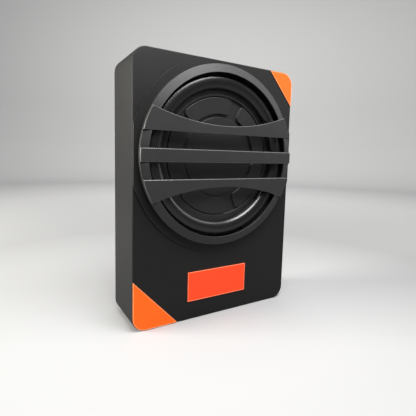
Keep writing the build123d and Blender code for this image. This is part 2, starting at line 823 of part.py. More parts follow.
# Socket for the wired remote: a square mouth with a key notch.
with BuildPart() as remote_jack:
    with Locations(panel_point(jack_place, board_z)):
        Box(jack_w, jack_d, panel_z - board_z, align=(Align.CENTER, Align.CENTER, Align.MIN))
    with Locations(panel_point(jack_place, panel_z)):
        Box(jack_mouth_w, jack_mouth_d, jack_mouth_depth, mode=Mode.SUBTRACT,
            align=(Align.CENTER, Align.CENTER, Align.MAX))
    notch_place = (jack_place[0], jack_place[1] - jack_mouth_d / 2)
    with Locations(panel_point(notch_place, panel_z)):
        Box(4.0, 3.0, jack_mouth_depth, mode=Mode.SUBTRACT,
            align=(Align.CENTER, Align.CENTER, Align.MAX))

# Speaker-level input: a two by three connector with a latch, and its pins.
plug_rows = [(column * plug_pitch, row * plug_pitch / 2) for column in (-1, 0, 1) for row in (-1, 1)]
plug_points = [(plug_place[0] + x, plug_place[1] + y) for x, y in plug_rows]
with BuildPart() as high_level_connector:
    with Locations(panel_point(plug_place, board_z)):
        Box(plug_w, plug_d, panel_z + plug_rise - board_z,
            align=(Align.CENTER, Align.CENTER, Align.MIN))
    latch_place = (plug_place[0], plug_place[1] + plug_d / 2)
    with Locations(panel_point(latch_place, panel_z)):
        Box(plug_latch_w, plug_latch_d, plug_rise,
            align=(Align.CENTER, Align.MIN, Align.MIN))
    with Locations(*[panel_point(place, panel_z + plug_rise) for place in plug_points]):
        Box(plug_cavity, plug_cavity, plug_cavity_depth, mode=Mode.SUBTRACT,
            align=(Align.CENTER, Align.CENTER, Align.MAX))

with BuildPart() as connector_pins:
    pin_foot_z = panel_z + plug_rise - plug_cavity_depth
    with Locations(*[panel_point(place, pin_foot_z) for place in plug_points]):
        Box(plug_pin, plug_pin, plug_cavity_depth - 3.0,
            align=(Align.CENTER, Align.CENTER, Align.MIN))

# Phono inputs: block on the board, two metal barrels, coloured inserts, centre contacts.
rca_points = [(rca_x, row) for row in rca_rows]
rca_mid_row = sum(rca_rows) / 2
with BuildPart() as rca_block:
    with Locations(panel_point((rca_x, rca_mid_row), board_z)):
        Box(rca_block_w, rca_block_d, board_drop, align=(Align.CENTER, Align.CENTER, Align.MIN))

with BuildPart() as rca_barrels:
    with Locations(*[panel_point(place, panel_back_z) for place in rca_points]):
        Cylinder(rca_barrel_r, panel_t + rca_rise, align=(Align.CENTER, Align.CENTER, Align.MIN))
    with Locations(*[panel_point(place, panel_z) for place in rca_points]):
        Cylinder(rca_flange_r, rca_flange_t, align=(Align.CENTER, Align.CENTER, Align.MIN))
    with Locations(*[panel_point(place, panel_back_z) for place in rca_points]):
        Cylinder(rca_barrel_r - rca_barrel_t, panel_t + rca_rise, mode=Mode.SUBTRACT,
                 align=(Align.CENTER, Align.CENTER, Align.MIN))


def rca_insert(place):
    """Coloured insulator inside one barrel, bored for its contact."""
    with BuildPart() as insert:
        with Locations(panel_point(place, panel_back_z)):
            Cylinder(rca_barrel_r - rca_barrel_t, panel_t + rca_rise - 0.8,
                     align=(Align.CENTER, Align.CENTER, Align.MIN))
            Cylinder(rca_bore_r, panel_t + rca_rise, mode=Mode.SUBTRACT,
                     align=(Align.CENTER, Align.CENTER, Align.MIN))
    return insert


rca_red_insert = rca_insert(rca_points[0])
rca_black_insert = rca_insert(rca_points[1])

with BuildPart() as rca_contacts:
    with Locations(*[panel_point(place, panel_back_z) for place in rca_points]):
        Cylinder(rca_bore_r, panel_t + rca_rise - 3.0,
                 align=(Align.CENTER, Align.CENTER, Align.MIN))
        Cylinder(rca_bore_r - rca_contact_t, panel_t + rca_rise, mode=Mode.SUBTRACT,
                 align=(Align.CENTER, Align.CENTER, Align.MIN))

# Blade fuse in its holder; it pulls straight out.
fuse_foot_z = panel_back_z - fuse_seat + fuse_gap
blade_places = [(fuse_place[0], fuse_place[1] + side * blade_half_pitch) for side in (-1, 1)]
with BuildPart() as fuse_holder:
    with Locations(panel_point(fuse_place, board_z)):
        Box(fuse_w + 2.4, fuse_d + 3.0, board_drop, align=(Align.CENTER, Align.CENTER, Align.MIN))
    with Locations(panel_point(fuse_place, panel_back_z)):
        Box(fuse_w + 2 * fuse_gap, fuse_d + 2 * fuse_gap, fuse_seat, mode=Mode.SUBTRACT,
            align=(Align.CENTER, Align.CENTER, Align.MAX))
    with Locations(*[panel_point(place, panel_back_z - fuse_seat) for place in blade_places]):
        Box(blade_t + 2 * running_gap, blade_w + 2 * running_gap, blade_len + fuse_gap,
            mode=Mode.SUBTRACT, align=(Align.CENTER, Align.CENTER, Align.MAX))

with BuildPart() as fuse_body:
    with Locations(panel_point(fuse_place, fuse_foot_z)):
        Box(fuse_w, fuse_d, panel_z + fuse_rise - fuse_foot_z,
            align=(Align.CENTER, Align.CENTER, Align.MIN))
    fillet(edges().filter_by(Axis.Z), 0.8)
    with Locations(*[panel_point(place, panel_z + fuse_rise) for place in blade_places]):
        Box(2.0, 3.0, 1.2, mode=Mode.SUBTRACT, align=(Align.CENTER, Align.CENTER, Align.MAX))

with BuildPart() as fuse_blades:
    with Locations(*[panel_point(place, fuse_foot_z) for place in blade_places]):
        Box(blade_t, blade_w, blade_len, align=(Align.CENTER, Align.CENTER, Align.MAX))

# Power terminal block: screw wells, wire entries and a brass clamp bar under each pair.
terminal_top_z = panel_z + terminal_rise
clamp_z = board_z + clamp_floor + clamp_h
terminal_rows = [terminal_place[1] + row * terminal_pitch for row in (1, 0, -1)]
screw_places = [(terminal_place[0] + terminal_screw_x, row) for row in terminal_rows]
entry_places = [(terminal_place[0] + terminal_entry_x, row) for row in terminal_rows]
clamp_len = terminal_entry_x - terminal_screw_x + clamp_w
clamp_x = terminal_place[0] + (terminal_entry_x + terminal_screw_x) / 2
with BuildPart() as terminal_block:
    with Locations(panel_point(terminal_place, board_z)):
        Box(terminal_w, terminal_d, terminal_top_z - board_z,
            align=(Align.CENTER, Align.CENTER, Align.MIN))
    with Locations(*[panel_point(place, terminal_top_z) for place in screw_places]):
        Cylinder(terminal_screw_r + 0.3, terminal_top_z - clamp_z, mode=Mode.SUBTRACT,
                 align=(Align.CENTER, Align.CENTER, Align.MAX))
    with Locations(*[panel_point(place, terminal_top_z) for place in entry_places]):
        Box(terminal_entry, terminal_entry, terminal_top_z - clamp_z, mode=Mode.SUBTRACT,
            align=(Align.CENTER, Align.CENTER, Align.MAX))
    with Locations(*[panel_point((clamp_x, row), clamp_z) for row in terminal_rows]):
        Box(clamp_len, clamp_w, clamp_h, mode=Mode.SUBTRACT,
            align=(Align.CENTER, Align.CENTER, Align.MAX))

with BuildPart() as terminal_clamps:
    with Locations(*[panel_point((clamp_x, row), clamp_z) for row in terminal_rows]):
        Box(clamp_len, clamp_w, clamp_h, align=(Align.CENTER, Align.CENTER, Align.MAX))
    with Locations(*[panel_point(place, clamp_z) for place in screw_places]):
        Cylinder(terminal_shank_r + running_gap, clamp_h, mode=Mode.SUBTRACT,
                 align=(Align.CENTER, Align.CENTER, Align.MAX))


def terminal_screw(place):
    """Slotted clamping screw that stands in its well."""
    head_z = terminal_top_z - 1.5
    with BuildPart() as screw:
        with Locations(panel_point(place, head_z)):
            Cylinder(terminal_screw_r, 3.0, align=(Align.CENTER, Align.CENTER, Align.MAX))
            Cylinder(terminal_shank_r, head_z - clamp_z + clamp_h - 0.5,
                     align=(Align.CENTER, Align.CENTER, Align.MAX))
            Box(1.0, 2 * terminal_screw_r, 1.2, mode=Mode.SUBTRACT,
                align=(Align.CENTER, Align.CENTER, Align.MAX))
    return screw


terminal_screw_1 = terminal_screw(screw_places[0])
terminal_screw_2 = terminal_screw(screw_places[1])
terminal_screw_3 = terminal_screw(screw_places[2])

# Amplifier: board on standoffs from the cover, with heat sink, transistors, capacitors, toroid.
amp_mid_z = bay_margin + amp_board_h / 2
with BuildPart() as amplifier_board:
    with Locations((0, amp_board_y, amp_mid_z)):
        Box(2 * amp_board_half_w, board_t, amp_board_h,
            align=(Align.CENTER, Align.MIN, Align.CENTER))

with BuildPart() as board_standoffs:
    with BuildSketch(facing(cover_y)) as standoff_grid:
        with Locations((0, amp_mid_z)):
            with GridLocations(2 * amp_board_half_w - 12, amp_board_h - 12, 2, 2):
                Circle(standoff_r)
    extrude(amount=standoff_len)

sink_z = bay_margin + 4
with BuildPart() as heat_sink:
    with Locations((0, amp_board_y, sink_z)):
        Box(2 * sink_half_w, sink_d, sink_h, align=(Align.CENTER, Align.MAX, Align.MIN))
    with Locations((0, amp_board_y - sink_d, sink_z)):
        with GridLocations(2 * sink_half_w / fin_count, 0, fin_count, 1):
            Box(fin_t, fin_h, sink_h, align=(Align.CENTER, Align.MAX, Align.MIN))

with BuildPart() as transistors:
    with Locations((0, amp_board_y - sink_d / 2, sink_z + sink_h)):
        with GridLocations(26, 0, 4, 1):
            Box(transistor_w, transistor_t, transistor_h,
                align=(Align.CENTER, Align.CENTER, Align.MIN))

part_row_z = amp_top_z - toroid_r - 6
with BuildPart() as capacitors:
    with BuildSketch(facing(amp_board_y)) as capacitor_spots:
        with Locations((30, part_row_z)):
            with GridLocations(2 * capacitor_r + 2, 2 * capacitor_r + 2, 2, 2):
                Circle(capacitor_r)
    extrude(amount=capacitor_len)

with BuildPart() as toroid:
    with BuildSketch(facing(amp_board_y)) as toroid_ring:
        with Locations((-42, part_row_z)):
            Circle(toroid_r)
            Circle(toroid_hole_r, mode=Mode.SUBTRACT)
    extrude(amount=toroid_h)
    fillet(edges().filter_by(GeomType.CIRCLE), 5)

# Wiring between the boards: a header at each end of each loom.
with BuildPart() as wiring_looms:
    for side in (-1, 1):
        loom_top_z = board_z - board_t - header_h
        with Locations((side * loom_x, loom_y, amp_top_z)):
            Cylinder(loom_r, loom_top_z - amp_top_z, align=(Align.CENTER, Align.CENTER, Align.MIN))

with BuildPart() as loom_headers:
    for side in (-1, 1):
        with Locations((side * loom_x, loom_y, board_z - board_t)):
            Box(header_w, header_w, header_h, align=(Align.CENTER, Align.CENTER, Align.MAX))
    header_depth = loom_setback + header_w / 2
    for x in (-loom_x, 0, loom_x):
        with Locations((x, amp_board_y, amp_top_z)):
            Box(header_w, header_depth, header_h, align=(Align.CENTER, Align.MAX, Align.MAX))

# Trim on the front: label plate and the two three-cornered badges.
with BuildPart() as label_plate:
    with BuildSketch(facing(front_y)) as label:
        with Locations((0, label_z)):
            RectangleRounded(label_w, label_h, 0.6)
    extrude(amount=label_t)


def badge(corners):
    """Thin badge that fills one corner of the front, trimmed by the case's outline."""
    with BuildPart() as piece:
        with BuildSketch(facing(front_y)) as triangle:
            with BuildLine():
                Polyline(*corners, close=True)
            make_face()
            add(outline(Plane.XY, edge_break), mode=Mode.INTERSECT)
        extrude(amount=badge_t)
        # The upper badge stops at the plinth, which stands higher than it.
        revolve(washer(0, plinth_r + fit_gap / 5, lip_y, front_y), axis=driver_axis,
                mode=Mode.SUBTRACT)
    return piece


left_x = -case_w / 2
right_x = case_w / 2
lower_badge = badge([(left_x, 0), (left_x + low_badge_along, 0), (left_x, low_badge_up)])
upper_badge = badge([(right_x, case_h), (right_x - top_badge_along, case_h),
                     (right_x, case_h - top_badge_down)])

pieces = {
    "enclosure_shell": enclosure_shell,
    "back_cover": back_cover,
    "back_cover_gasket": back_cover_gasket,
    "back_cover_screws": back_cover_screws,
    "grille": grille,
    "driver_gasket": driver_gasket,
    "driver_basket": driver_basket,
    "driver_screws": driver_screws,
    "surround": surround,
    "cone": cone,
    "centre_cap": centre_cap,
    "voice_coil_former": voice_coil_former,
    "voice_coil_winding": voice_coil_winding,
    "spider": spider,
    "top_plate": top_plate,
    "magnet": magnet,
    "back_plate_pole": back_plate_pole,
    "speaker_terminals": speaker_terminals,
    "tinsel_leads": tinsel_leads,
    "speaker_leads": speaker_leads,
    "control_panel": control_panel,
    "panel_gasket": panel_gasket,
    "panel_screws": panel_screws,
    "control_board": control_board,
    "pot_bodies": pot_bodies,
    "level_knob": level_knob,
    "crossover_knob": crossover_knob,
    "bass_boost_knob": bass_boost_knob,
    "switch_bodies": switch_bodies,
    "phase_button": phase_button,
    "power_mode_button": power_mode_button,
    "green_led": green_led,
    "red_led": red_led,
    "remote_jack": remote_jack,
    "high_level_connector": high_level_connector,
    "connector_pins": connector_pins,
    "rca_block": rca_block,
    "rca_barrels": rca_barrels,
    "rca_red_insert": rca_red_insert,
    "rca_black_insert": rca_black_insert,
    "rca_contacts": rca_contacts,
    "fuse_holder": fuse_holder,
    "fuse_body": fuse_body,
    "fuse_blades": fuse_blades,
    "terminal_block": terminal_block,
    "terminal_clamps": terminal_clamps,
    "terminal_screw_1": terminal_screw_1,
    "terminal_screw_2": terminal_screw_2,
    "terminal_screw_3": terminal_screw_3,
    "amplifier_board": amplifier_board,
    "board_standoffs": board_standoffs,
    "heat_sink": heat_sink,
    "transistors": transistors,
    "capacitors": capacitors,
    "toroid": toroid,
    "wiring_looms": wiring_looms,
    "loom_headers": loom_headers,
    "label_plate": label_plate,
    "lower_badge": lower_badge,
    "upper_badge": upper_badge,
}

os.makedirs("parts", exist_ok=True)
for name, piece in pieces.items():
    piece.part.label = name
    export_step(piece.part, f"parts/{name}.step")
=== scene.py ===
import math

import bpy
from mathutils import Matrix, Vector


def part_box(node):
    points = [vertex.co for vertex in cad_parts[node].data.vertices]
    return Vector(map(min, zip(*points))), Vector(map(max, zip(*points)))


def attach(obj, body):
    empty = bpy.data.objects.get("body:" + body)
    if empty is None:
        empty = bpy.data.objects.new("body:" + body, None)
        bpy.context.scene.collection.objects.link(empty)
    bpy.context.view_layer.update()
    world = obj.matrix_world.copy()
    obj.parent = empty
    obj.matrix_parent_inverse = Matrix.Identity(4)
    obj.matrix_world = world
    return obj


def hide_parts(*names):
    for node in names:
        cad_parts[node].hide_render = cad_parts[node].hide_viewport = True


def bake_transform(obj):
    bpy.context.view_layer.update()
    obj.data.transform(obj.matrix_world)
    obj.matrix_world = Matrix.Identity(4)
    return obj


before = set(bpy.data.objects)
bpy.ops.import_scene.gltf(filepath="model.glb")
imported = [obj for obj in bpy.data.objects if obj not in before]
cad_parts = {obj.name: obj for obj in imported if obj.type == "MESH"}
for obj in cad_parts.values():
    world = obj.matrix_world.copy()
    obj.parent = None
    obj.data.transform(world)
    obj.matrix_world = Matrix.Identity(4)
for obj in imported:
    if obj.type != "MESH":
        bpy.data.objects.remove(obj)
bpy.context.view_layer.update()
bpy.ops.object.select_all(action="DESELECT")

# Camera: a little to the left of the case and above its middle, looking slightly down, and close
# enough for strong perspective. Its spot is measured from the left front edge of the case.
case_left_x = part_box("enclosure_shell")[0].x
case_front_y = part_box("label_plate")[1].y
camera_left, camera_away, camera_height = 0.127, 0.3648, 0.2171
camera_spot = Vector((case_left_x - camera_left, case_front_y - camera_away, camera_height))
camera_up = Vector((0.0343, 0.1014, 0.9943))
forward = Vector((0.4868, 0.8671, -0.1052)).normalized()
right = forward.cross(camera_up).normalized()
turned = Matrix((right, right.cross(forward), -forward)).transposed()
camera_data = bpy.data.cameras.new("camera")
camera_data.lens = 28.1
camera_data.sensor_width = 36
camera_data.shift_x = 0.044
camera_data.shift_y = -0.037
camera_data.clip_start = 0.01
camera = bpy.data.objects.new("camera", camera_data)
camera.matrix_world = Matrix.Translation(camera_spot) @ turned.to_4x4()
bpy.context.scene.collection.objects.link(camera)
bpy.context.scene.camera = camera
bpy.context.scene.view_settings.view_transform = "Standard"

# Studio: a pale round floor whose edge is drawn up into a wall all round, so that no horizon shows
# from any side. Soft boxes hang inside it: overhead, close above the front, left, right and at the
# wall.
floor_radius = 2.4
wall_steps = ((0.05, 1.08), (0.12, 1.06), (0.2, 1.04), (0.3, 1.02), (1.6, 1.0))
bpy.ops.mesh.primitive_circle_add(vertices=96, radius=floor_radius, fill_type="NGON")
floor = bpy.context.object
floor.name = "studio_floor"
bpy.ops.object.mode_set(mode="EDIT")
bpy.ops.mesh.select_mode(type="EDGE")
bpy.ops.mesh.select_all(action="SELECT")
bpy.ops.mesh.region_to_loop()
for rise, spread in wall_steps:
    bpy.ops.mesh.extrude_edges_move(TRANSFORM_OT_translate={"value": (0, 0, rise)})
    bpy.ops.transform.resize(value=(spread, spread, 1))
bpy.ops.object.mode_set(mode="OBJECT")
bpy.ops.object.shade_smooth()

paper = bpy.data.materials.new("backdrop_paper")
paper.use_nodes = True
paper_nodes = paper.node_tree.nodes
paper_links = paper.node_tree.links
paper_place = paper_nodes.new("ShaderNodeTexCoord")
paper_away = paper_nodes.new("ShaderNodeVectorMath")
paper_away.operation = "LENGTH"
paper_painted_shade = paper_nodes.new("ShaderNodeValToRGB")
paper_scale = paper_nodes.new("ShaderNodeMapping")
paper_scale.inputs["Scale"].default_value = (0.33, 0.33, 0.33)
# The paper's colour paints in shade and light: darker in a ring half a metre out than under the
# case, and palest at the wall.
near_tone, far_tone = paper_painted_shade.color_ramp.elements
near_tone.position = 0.06
near_tone.color = (0.355, 0.355, 0.357, 1)
far_tone.position = 0.85
far_tone.color = (0.52, 0.52, 0.52, 1)
paper_painted_shade.color_ramp.elements.new(0.18).color = (0.28, 0.28, 0.28, 1)
paper_painted_shade.color_ramp.elements.new(0.45).color = (0.42, 0.42, 0.42, 1)
paper_links.new(paper_place.outputs["Object"], paper_scale.inputs["Vector"])
paper_links.new(paper_scale.outputs["Vector"], paper_away.inputs[0])
paper_links.new(paper_away.outputs["Value"], paper_painted_shade.inputs["Fac"])
paper_shader = paper_nodes["Principled BSDF"]
paper_links.new(paper_painted_shade.outputs["Color"], paper_shader.inputs["Base Color"])
paper_shader.inputs["Roughness"].default_value = 0.9
# The paper throws little light back up at the case, as under a lamp with barn doors.
paper_dim = paper_nodes.new("ShaderNodeBsdfDiffuse")
paper_dim.inputs["Color"].default_value = (0.16, 0.16, 0.165, 1)
paper_ray = paper_nodes.new("ShaderNodeLightPath")
paper_mix = paper_nodes.new("ShaderNodeMixShader")
paper_links.new(paper_ray.outputs["Is Camera Ray"], paper_mix.inputs["Fac"])
paper_links.new(paper_dim.outputs["BSDF"], paper_mix.inputs[1])
paper_links.new(paper_shader.outputs["BSDF"], paper_mix.inputs[2])
paper_links.new(paper_mix.outputs["Shader"], paper_nodes["Material Output"].inputs["Surface"])
floor.data.materials.append(paper)

world = bpy.data.worlds.new("studio")
bpy.context.scene.world = world
world.use_nodes = True
fill_light = world.node_tree.nodes["Background"]
fill_light.inputs["Color"].default_value = (1, 1, 1, 1)
fill_light.inputs["Strength"].default_value = 0.5


def soft_box(name, spot, size, power, target=(0, 0, 0.18), colour=(1, 1, 1)):
    """Rectangular area light that faces a target."""
    light = bpy.data.lights.new(name, "AREA")
    light.shape = "RECTANGLE"
    light.size, light.size_y = size
    light.energy = power
    light.color = colour
    lamp = bpy.data.objects.new(name, light)
    lamp.location = spot
    lamp.rotation_euler = (Vector(target) - Vector(spot)).to_track_quat("-Z", "Y").to_euler()
    bpy.context.scene.collection.objects.link(lamp)


soft_box("overhead_box", (0.1, -0.5, 1.9), (1.4, 1.4), 17)
soft_box("front_top_box", (-0.02, -0.38, 0.85), (0.7, 0.42), 11, target=(0.0, -0.03, 0.28))
soft_box("left_box", (-1.4, 0.4, 0.55), (0.7, 0.7), 54, target=(-0.12, 0, 0.5),
         colour=(1, 0.98, 0.92))
soft_box("right_box", (1.5, -0.7, 1.0), (0.6, 1.4), 7)
soft_box("wall_box", (0.65, 0.9, 1.6), (1.4, 0.7), 26, target=(1.5, 2.2, 0.1))


# Case: die-cast shell and pressed back cover, both in fine matt black powder coat. The castings'
# edges are rounded by less than a millimetre, and the coat has a fine grain that catches light.
# The shell's rounded edges are painted a lighter grey: a painted highlight.
gloss_drift = 0.06
sharp_angle = math.radians(32)


def coated(name, colour, roughness, grain=1800, depth=0.00003, metal=0.0, vary=0.12,
           stretch=(1, 1, 1), shine=0.5):
    """Moulded or coated finish with fine grain, and a slight drift in tone and gloss."""
    material = bpy.data.materials.new(name)
    material.use_nodes = True
    nodes = material.node_tree.nodes
    links = material.node_tree.links
    shader = nodes["Principled BSDF"]
    shader.inputs["Metallic"].default_value = metal
    shader.inputs["Specular IOR Level"].default_value = shine
    place = nodes.new("ShaderNodeTexCoord")
    stretched = nodes.new("ShaderNodeMapping")
    stretched.inputs["Scale"].default_value = stretch
    fine = nodes.new("ShaderNodeTexNoise")
    fine.inputs["Scale"].default_value = grain
    fine.inputs["Detail"].default_value = 2
    cloud = nodes.new("ShaderNodeTexNoise")
    cloud.inputs["Scale"].default_value = 35
    cloud.inputs["Detail"].default_value = 4
    blend = nodes.new("ShaderNodeMix")
    blend.inputs["Factor"].default_value = 0.5
    tone = nodes.new("ShaderNodeValToRGB")
    low, high = tone.color_ramp.elements
    low.position, high.position = 0.3, 0.7
    low.color = (*[c * (1 - vary) for c in colour], 1)
    high.color = (*[min(1, c * (1 + vary)) for c in colour], 1)
    gloss = nodes.new("ShaderNodeMapRange")
    gloss.inputs["To Min"].default_value = max(0.03, roughness - gloss_drift)
    gloss.inputs["To Max"].default_value = roughness + gloss_drift
    relief = nodes.new("ShaderNodeBump")
    relief.inputs["Strength"].default_value = 0.5
    relief.inputs["Distance"].default_value = depth
    links.new(place.outputs["Object"], stretched.inputs["Vector"])
    links.new(stretched.outputs["Vector"], fine.inputs["Vector"])
    links.new(place.outputs["Object"], cloud.inputs["Vector"])
    links.new(fine.outputs["Fac"], blend.inputs["A"])
    links.new(cloud.outputs["Fac"], blend.inputs["B"])
    links.new(blend.outputs["Result"], tone.inputs["Fac"])
    links.new(tone.outputs["Color"], shader.inputs["Base Color"])
    links.new(blend.outputs["Result"], gloss.inputs["Value"])
    links.new(gloss.outputs["Result"], shader.inputs["Roughness"])
    links.new(fine.outputs["Fac"], relief.inputs["Height"])
    links.new(relief.outputs["Normal"], shader.inputs["Normal"])
    return material


def dress(piece, material):
    """Gives a piece one finish all over."""
    piece.data.materials.clear()
    piece.data.materials.append(material)


def work_on(piece):
    """Makes one piece the only one selected."""
    bpy.ops.object.select_all(action="DESELECT")
    piece.select_set(True)
    bpy.context.view_layer.objects.active = piece


def clear_picks(piece):
    """Leaves nothing of a piece's mesh selected."""
    for part in (piece.data.vertices, piece.data.edges, piece.data.polygons):
        part.foreach_set("select", [False] * len(part))


def pick_faces(piece, test):
    """Opens a piece for editing with only the faces whose centre and normal pass a test."""
    work_on(piece)
    bpy.context.tool_settings.mesh_select_mode = (False, False, True)
    clear_picks(piece)
    for face in piece.data.polygons:
        face.select = test(face.center, face.normal)
    bpy.ops.object.mode_set(mode="EDIT")


def round_edges(piece, width, segments=2, edge_slot=-1, marked_only=False):
    """Rounds the sharp or the marked edges, and keeps the broad faces flat in the shading."""
    work_on(piece)
    bpy.ops.object.shade_smooth_by_angle(angle=sharp_angle)
    rounding = piece.modifiers.new("rounding", "BEVEL")
    rounding.width = width
    rounding.segments = segments
    rounding.angle_limit = sharp_angle
    rounding.material = edge_slot
    if marked_only:
        rounding.limit_method = "WEIGHT"
        rounding.use_clamp_overlap = False
    bpy.ops.object.modifier_apply(modifier="rounding")
    flat = piece.modifiers.new("flat", "WEIGHTED_NORMAL")
    flat.weight = 80
    flat.keep_sharp = True
    bpy.ops.object.modifier_apply(modifier="flat")
    bpy.ops.object.select_all(action="DESELECT")


def open_copy(node, name):
    """Opens a copy of a node's shape for editing, with its triangles' corners joined."""
    piece = bpy.data.objects.new(name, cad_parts[node].data.copy())
    bpy.context.scene.collection.objects.link(piece)
    work_on(piece)
    bpy.ops.object.mode_set(mode="EDIT")
    bpy.ops.mesh.select_all(action="SELECT")
    bpy.ops.mesh.remove_doubles(threshold=0.00001)
    return piece


def merged_copy(node, name):
    """Own copy of a node's shape, with its triangles merged into whole faces."""
    piece = open_copy(node, name)
    bpy.ops.mesh.dissolve_limited(angle_limit=math.radians(0.3))
    bpy.ops.object.mode_set(mode="OBJECT")
    piece.data.materials.clear()
    return piece


def softened(node, name, edge, material, body="enclosure", segments=2):
    """A node's own shape with its sharp edges rounded off by a hair."""
    piece = merged_copy(node, name)
    round_edges(piece, edge, segments)
    dress(piece, material)
    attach(piece, body)
    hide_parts(node)


powder_coat = coated("powder_coat", (0.0078, 0.0078, 0.0074), 0.46, grain=1000, depth=0.00011,
                     stretch=(1, 1, 0.6), shine=0.37)
# The shell's rounded edges take a lighter grey: a painted highlight along them.
painted_edge_highlight_coat = coated("painted_edge_highlight_coat", (0.06, 0.06, 0.058), 0.4, grain=1000, depth=0.00005, vary=0.35)
case_shell = merged_copy("enclosure_shell", "case_shell")
case_shell.data.materials.append(powder_coat)
case_shell.data.materials.append(painted_edge_highlight_coat)
round_edges(case_shell, 0.0007, edge_slot=1)
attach(case_shell, "enclosure")
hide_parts("enclosure_shell")
softened("back_cover", "rear_cover", 0.0004, powder_coat)


# Cross-head screws: black steel, countersunk at the back, round-headed on the panel and the driver.
# Each head is turned, its edge rounded, and the cross punched into it; like screws are copies.
twist_step = 0.7


def apply_all(piece):
    """Moves an object's place, turn and size into its mesh."""
    work_on(piece)
    bpy.ops.object.transform_apply(location=True, rotation=True, scale=True)


def join_pieces(pieces, name):
    """Joins several objects into one with that name."""
    work_on(pieces[0])
    for piece in pieces:
        piece.select_set(True)
    bpy.ops.object.join()
    pieces[0].name = name
    bpy.ops.object.select_all(action="DESELECT")
    return pieces[0]


def cut_with(piece, cutter):
    """Takes a cutter's shape out of a piece."""
    work_on(piece)
    cut = piece.modifiers.new("cut", "BOOLEAN")
    cut.operation = "DIFFERENCE"
    cut.object = cutter
    bpy.ops.object.modifier_apply(modifier="cut")
    bpy.data.objects.remove(cutter)


def screw_blank(head_r, head_h, foot_r, shank_r, shank_len):
    """One screw along Z with its head's top at zero, and a cross punched into it."""
    bpy.ops.object.select_all(action="DESELECT")
    bpy.ops.mesh.primitive_cone_add(vertices=40, radius1=foot_r, radius2=head_r, depth=head_h,
                                    location=(0, 0, -head_h / 2))
    head = bpy.context.object
    pick_faces(head, lambda centre, normal: normal.z > 0.9)
    bpy.ops.mesh.bevel(offset=head_h * 0.22, segments=3, affect="EDGES")
    bpy.ops.object.mode_set(mode="OBJECT")
    pick_faces(head, lambda centre, normal: normal.z < -0.9)
    bpy.ops.mesh.inset(thickness=foot_r - shank_r)
    bpy.ops.mesh.extrude_region_move(TRANSFORM_OT_translate={"value": (0, 0, -shank_len)})
    bpy.ops.object.mode_set(mode="OBJECT")
    apply_all(head)
    for turn in (0, math.pi / 2):
        bpy.ops.mesh.primitive_cube_add(size=1, location=(0, 0, 0))
        blade = bpy.context.object
        blade.scale = (head_r * 1.25, head_r * 0.26, head_h * 1.1)
        blade.rotation_euler.z = turn
        apply_all(blade)
        cut_with(head, blade)
    work_on(head)
    bpy.ops.object.shade_smooth_by_angle(angle=math.radians(35))
    return head


def set_screws(name, blank, spots, turn, node, material):
    """Copies a screw to every spot, each turned a little differently, and joins them."""
    copies = []
    for number, spot in enumerate(spots):
        copy = bpy.data.objects.new(name, blank.data.copy())
        bpy.context.scene.collection.objects.link(copy)
        twist = Matrix.Rotation(twist_step * number, 4, "Z")
        copy.data.transform(Matrix.Translation(spot) @ turn @ twist)
        copies.append(copy)
    bpy.data.objects.remove(blank)
    piece = join_pieces(copies, name)
    dress(piece, material)
    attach(piece, "enclosure")
    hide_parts(node)


def island_centres(node):
    """Middle of each separate solid in a node."""
    open_copy(node, "probe")
    bpy.ops.mesh.separate(type="LOOSE")
    bpy.ops.object.mode_set(mode="OBJECT")
    centres = []
    for piece in list(bpy.context.selected_objects):
        corners = [vertex.co for vertex in piece.data.vertices]
        low = Vector([min(c[axis] for c in corners) for axis in range(3)])
        high = Vector([max(c[axis] for c in corners) for axis in range(3)])
        centres.append((low + high) / 2)
        bpy.data.objects.remove(piece)
    return sorted(centres, key=lambda c: (round(c.z, 4), round(c.y, 4), round(c.x, 4)))


black_steel = coated("black_steel", (0.03, 0.03, 0.031), 0.33, grain=900, depth=0.00001, metal=0.7)
cover_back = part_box("back_cover_screws")[1].y
cover_spots = [Vector((c.x, cover_back, c.z)) for c in island_centres("back_cover_screws")]
cover_screw = screw_blank(head_r=0.0039, head_h=0.002, foot_r=0.0019, shank_r=0.0018,
                          shank_len=0.0108)
set_screws("rear_cover_screws", cover_screw, cover_spots, Matrix.Rotation(-math.pi / 2, 4, "X"),
           "back_cover_screws", black_steel)
panel_head_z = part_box("panel_screws")[1].z
panel_spots = [Vector((c.x, c.y, panel_head_z)) for c in island_centres("panel_screws")]
panel_screw = screw_blank(head_r=0.0028, head_h=0.0016, foot_r=0.0028, shank_r=0.0014,
                          shank_len=0.0088)
set_screws("control_panel_screws", panel_screw, panel_spots, Matrix.Identity(4),
           "panel_screws", black_steel)
driver_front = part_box("driver_screws")[0].y
driver_spots = [Vector((c.x, driver_front, c.z)) for c in island_centres("driver_screws")]
driver_screw = screw_blank(head_r=0.0025, head_h=0.002, foot_r=0.0025, shank_r=0.0015,
                           shank_len=0.0058)
set_screws("driver_fixing_screws", driver_screw, driver_spots, Matrix.Rotation(math.pi / 2, 4, "X"),
           "driver_screws", black_steel)

# Grille: moulded black plastic, a conical ring crossed by three flat bars. The bars' edges are
# crisp but rounded a hair, and the rounded edges are painted a lighter grey as a thin painted
# highlight. The plastic is a little smoother than the coat on the case.
grille_black = coated("grille_black", (0.024, 0.024, 0.0236), 0.46, grain=1600, depth=0.00004)
# The grille's rounded edges take a lighter grey: a painted highlight, widest round the front faces.
painted_bar_edge_highlight = coated("painted_bar_edge_highlight", (0.095, 0.095, 0.093), 0.36, grain=900, depth=0.00003, vary=0.4)
grille = merged_copy("grille", "grille_ring_and_bars")
grille.data.materials.append(grille_black)
grille.data.materials.append(painted_bar_edge_highlight)
faces_front = -0.9995


